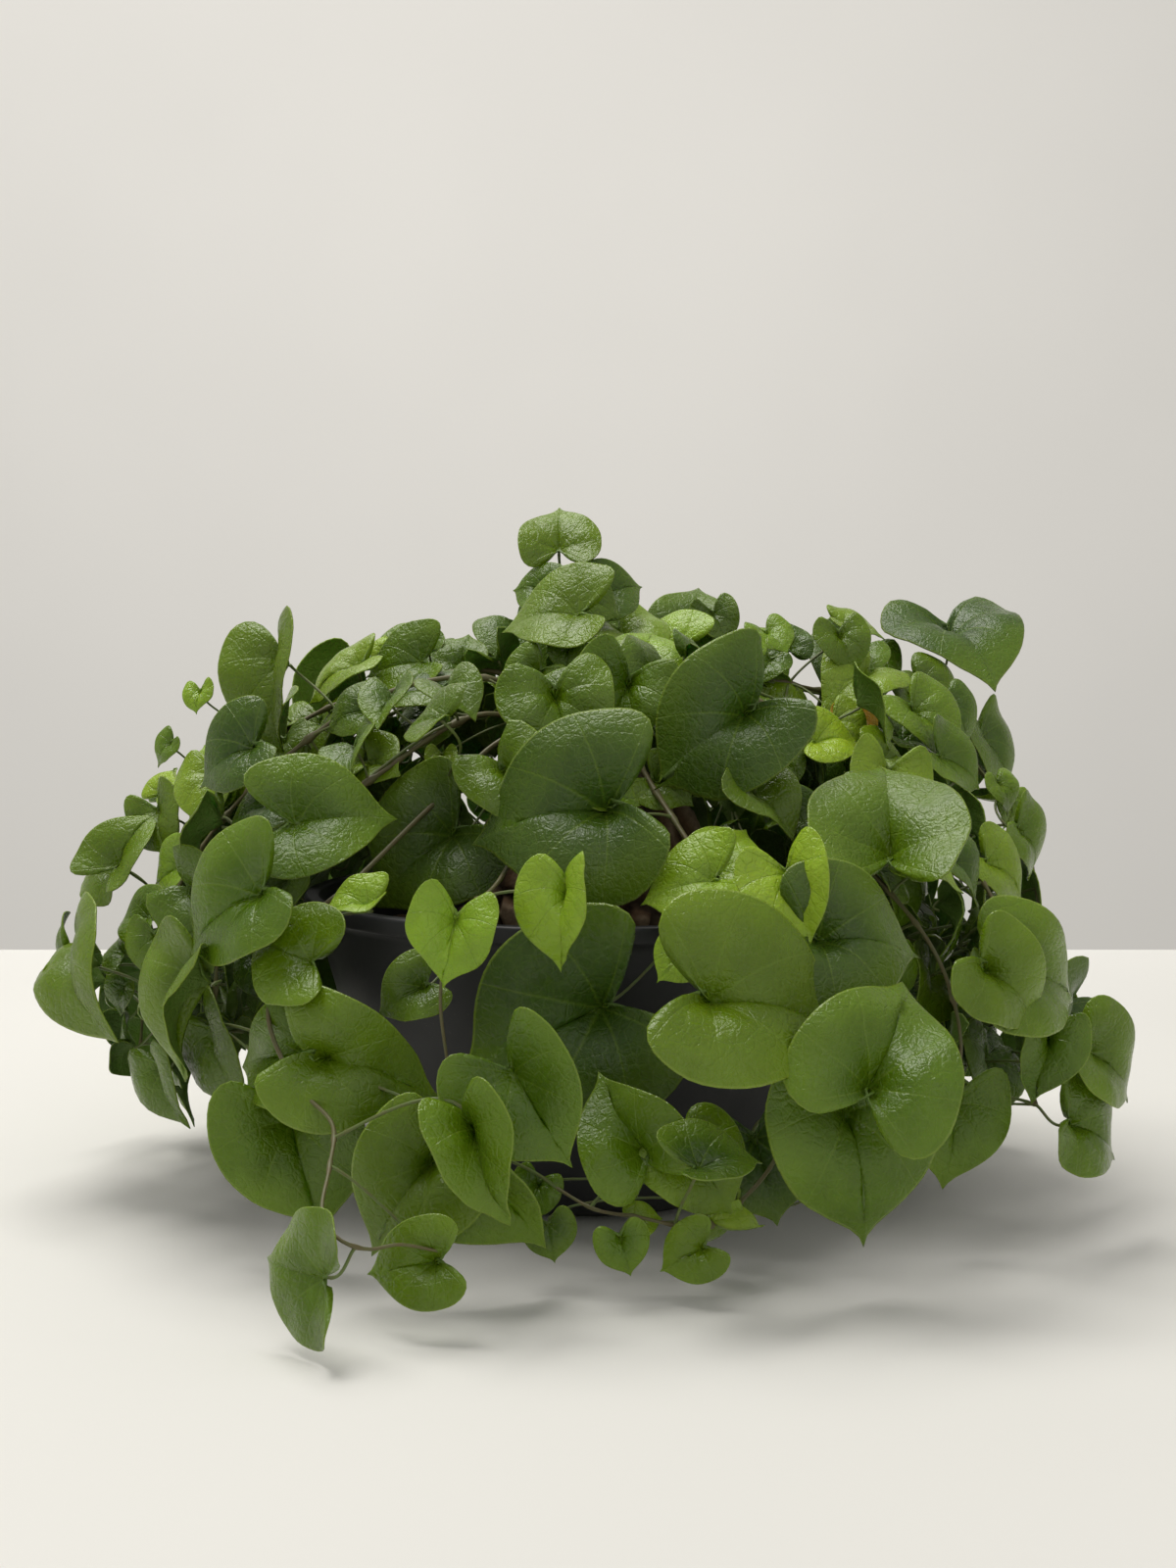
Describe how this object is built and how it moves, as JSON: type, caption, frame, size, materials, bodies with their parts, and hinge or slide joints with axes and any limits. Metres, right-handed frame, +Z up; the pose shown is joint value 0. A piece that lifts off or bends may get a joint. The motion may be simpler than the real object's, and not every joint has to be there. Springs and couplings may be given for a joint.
{
  "type": "potted elephant foot plant",
  "caption": "Bowl-potted elephant foot plant: a corky tuber in potting mix with thin vines of glossy heart-shaped leaves that dome over the rim and hang",
  "frame": {"origin": "middle of the flat foot of the pot, on the surface that it stands on", "axes": "+Z up, -Y towards the front with the longest hanging shoot at the front left, +X to the right"},
  "size_m": [0.3105, 0.319, 0.2029],
  "materials": {
    "pot": "black moulded plastic bowl with a soft sheen, faint scuffs and a rolled rim band",
    "potting_mix": "dark gritty potting mix with bark chips",
    "bark": "dry corky bark, split into raised plates with dark fissures",
    "stem": "thin wiry stems, green-brown with a satin skin, and their small leaves",
    "leaf_young": "glossy bright yellow-green young leaf with pale veins and a pale edge",
    "leaf_grown": "glossy mid-green leaf, lightly mottled, with faint palmate veins and a pale edge",
    "leaf_old": "dark blue-green mature leaf with a waxy sheen and faint veins"
  },
  "bodies": {
    "root": {"pot": "pot", "soil": "potting_mix", "caudex": "bark", "shoot_front": "stem", "shoot_left": "stem", "shoot_right": "stem", "shoot_back": "stem", "leaf_front_01": "leaf_grown", "leaf_front_02": "leaf_grown", "leaf_front_03": "leaf_grown", "leaf_front_04": "leaf_grown", "leaf_front_05": "leaf_grown", "leaf_front_06": "leaf_grown", "leaf_front_07": "leaf_grown", "leaf_front_08": "leaf_grown", "leaf_front_09": "leaf_grown", "leaf_front_10": "leaf_old", "leaf_front_12": "leaf_young", "leaf_front_15": "leaf_grown", "leaf_front_16": "leaf_old", "leaf_front_17": "leaf_young", "leaf_front_18": "leaf_young", "leaf_front_19": "leaf_old", "leaf_front_20": "leaf_grown", "leaf_front_21": "leaf_grown", "leaf_front_22": "leaf_grown", "leaf_front_25": "leaf_grown", "leaf_front_26": "leaf_grown", "leaf_front_27": "leaf_old", "leaf_right_01": "leaf_grown", "leaf_right_02": "leaf_grown", "leaf_right_03": "leaf_grown", "leaf_right_04": "leaf_grown", "leaf_right_06": "leaf_grown", "leaf_right_07": "leaf_grown", "leaf_right_15": "leaf_old", "leaf_top_01": "leaf_old", "leaf_top_04": "leaf_old", "leaf_top_05": "leaf_grown", "leaf_top_07": "leaf_grown", "leaf_top_11": "leaf_grown", "leaf_top_16": "leaf_grown", "leaf_top_18": "leaf_old", "leaf_left_01": "leaf_grown", "leaf_left_02": "leaf_grown", "leaf_left_03": "leaf_old", "leaf_left_04": "leaf_old", "leaf_left_05": "leaf_old", "leaf_left_07": "leaf_grown", "leaf_left_08": "leaf_grown", "leaf_left_09": "leaf_old", "leaf_left_10": "leaf_grown", "leaf_left_11": "leaf_old", "leaf_low_01": "leaf_grown", "leaf_low_02": "leaf_grown", "leaf_low_03": "leaf_grown", "leaf_low_04": "leaf_grown", "leaf_low_05": "leaf_old", "leaf_low_06": "leaf_grown"}
  },
  "joints": []
}
